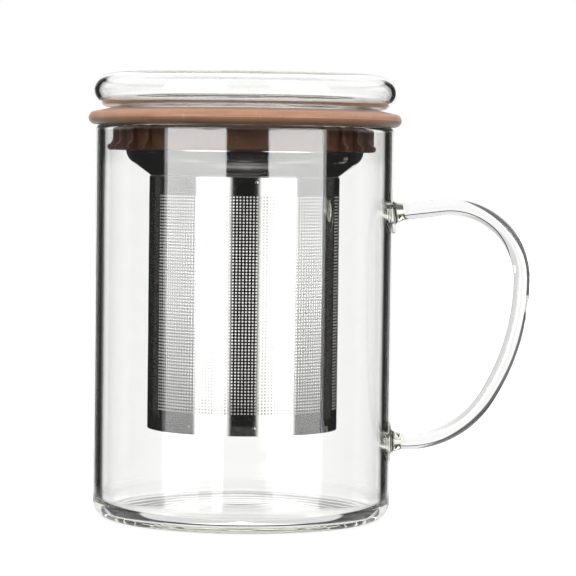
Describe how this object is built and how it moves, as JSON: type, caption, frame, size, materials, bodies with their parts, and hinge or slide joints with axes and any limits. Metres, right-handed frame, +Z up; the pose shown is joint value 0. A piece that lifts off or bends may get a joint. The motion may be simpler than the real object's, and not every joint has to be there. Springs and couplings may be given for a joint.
{
  "type": "lidded tea mug with infuser",
  "caption": "Clear glass tea mug with a rod handle, a soft ring in its mouth, a hanging perforated steel infuser and a lift-off hollow glass lid.",
  "frame": {"origin": "on the mug's axis, in the plane that it rests on", "axes": "+Z up along the mug's axis, +X towards the handle, the picture looks along +Y"},
  "size_m": [0.1191, 0.084, 0.1196],
  "materials": {
    "clear_glass": "clear borosilicate, fire polished",
    "rod_glass": "clear solid glass rod",
    "brown_silicone": "soft satin silicone",
    "polished_steel": "mirror polished stainless steel",
    "perforated_steel": "polished stainless sheet with fine etched holes",
    "pan_steel": "polished stainless sheet",
    "lid_glass": "clear blown borosilicate"
  },
  "bodies": {
    "mug": {"mug_body": "clear_glass", "mug_handle": "rod_glass"},
    "ring": {"silicone_ring": "brown_silicone"},
    "infuser": {"infuser_collar": "polished_steel", "infuser_sleeve": "perforated_steel", "infuser_floor": "pan_steel"},
    "lid": {"lid_glass": "lid_glass"}
  },
  "joints": [
    {"name": "ring_lift", "type": "slide", "parent": "mug", "child": "ring", "axis": [0, 0, 1], "range_m": [0, 0.1]},
    {"name": "infuser_lift", "type": "slide", "parent": "ring", "child": "infuser", "axis": [0, 0, 1], "range_m": [0, 0.09]},
    {"name": "lid_lift", "type": "slide", "parent": "infuser", "child": "lid", "axis": [0, 0, 1], "range_m": [0, 0.05]}
  ]
}
